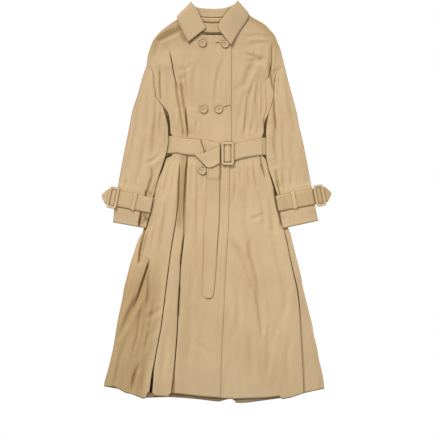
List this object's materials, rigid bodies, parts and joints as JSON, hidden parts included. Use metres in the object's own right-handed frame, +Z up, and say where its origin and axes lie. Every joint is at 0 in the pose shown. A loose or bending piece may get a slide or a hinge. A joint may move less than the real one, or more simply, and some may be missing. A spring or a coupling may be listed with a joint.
{
  "type": "belted double-breasted trench coat",
  "caption": "Long flared cotton trench coat laid flat, front up, with turned-down collar, button front, tied buckle belt and strapped cuffs.",
  "frame": {"origin": "middle of the laid-out coat's outline, on the surface it lies on", "axes": "+Y from the hem to the collar, +Z up out of the surface through the front, +X to the viewer's right"},
  "size_m": [0.6892, 1.2048, 0.0165],
  "materials": {
    "gabardine": "matt cotton twill",
    "belt_cloth": "matt cotton twill, doubled and stitched",
    "buckle_cover": "smooth covering in the coat's colour",
    "button_resin": "satin resin in the coat's colour"
  },
  "bodies": {
    "root": {"back": "gabardine", "front_over": "gabardine", "front_under": "gabardine", "sleeve_left": "gabardine", "sleeve_right": "gabardine", "collar_leaf": "gabardine", "collar_stand": "gabardine", "cuff_keeper_left": "gabardine", "cuff_keeper_right": "gabardine", "belt": "belt_cloth", "belt_tail": "belt_cloth", "belt_knot": "belt_cloth", "cuff_strap_left": "belt_cloth", "cuff_strap_right": "belt_cloth", "belt_buckle": "buckle_cover", "cuff_buckle_left": "buckle_cover", "cuff_buckle_right": "buckle_cover", "button_top_left": "button_resin", "button_top_right": "button_resin", "button_middle_left": "button_resin", "button_middle_right": "button_resin", "button_low_left": "button_resin", "button_low_right": "button_resin"}
  },
  "joints": []
}
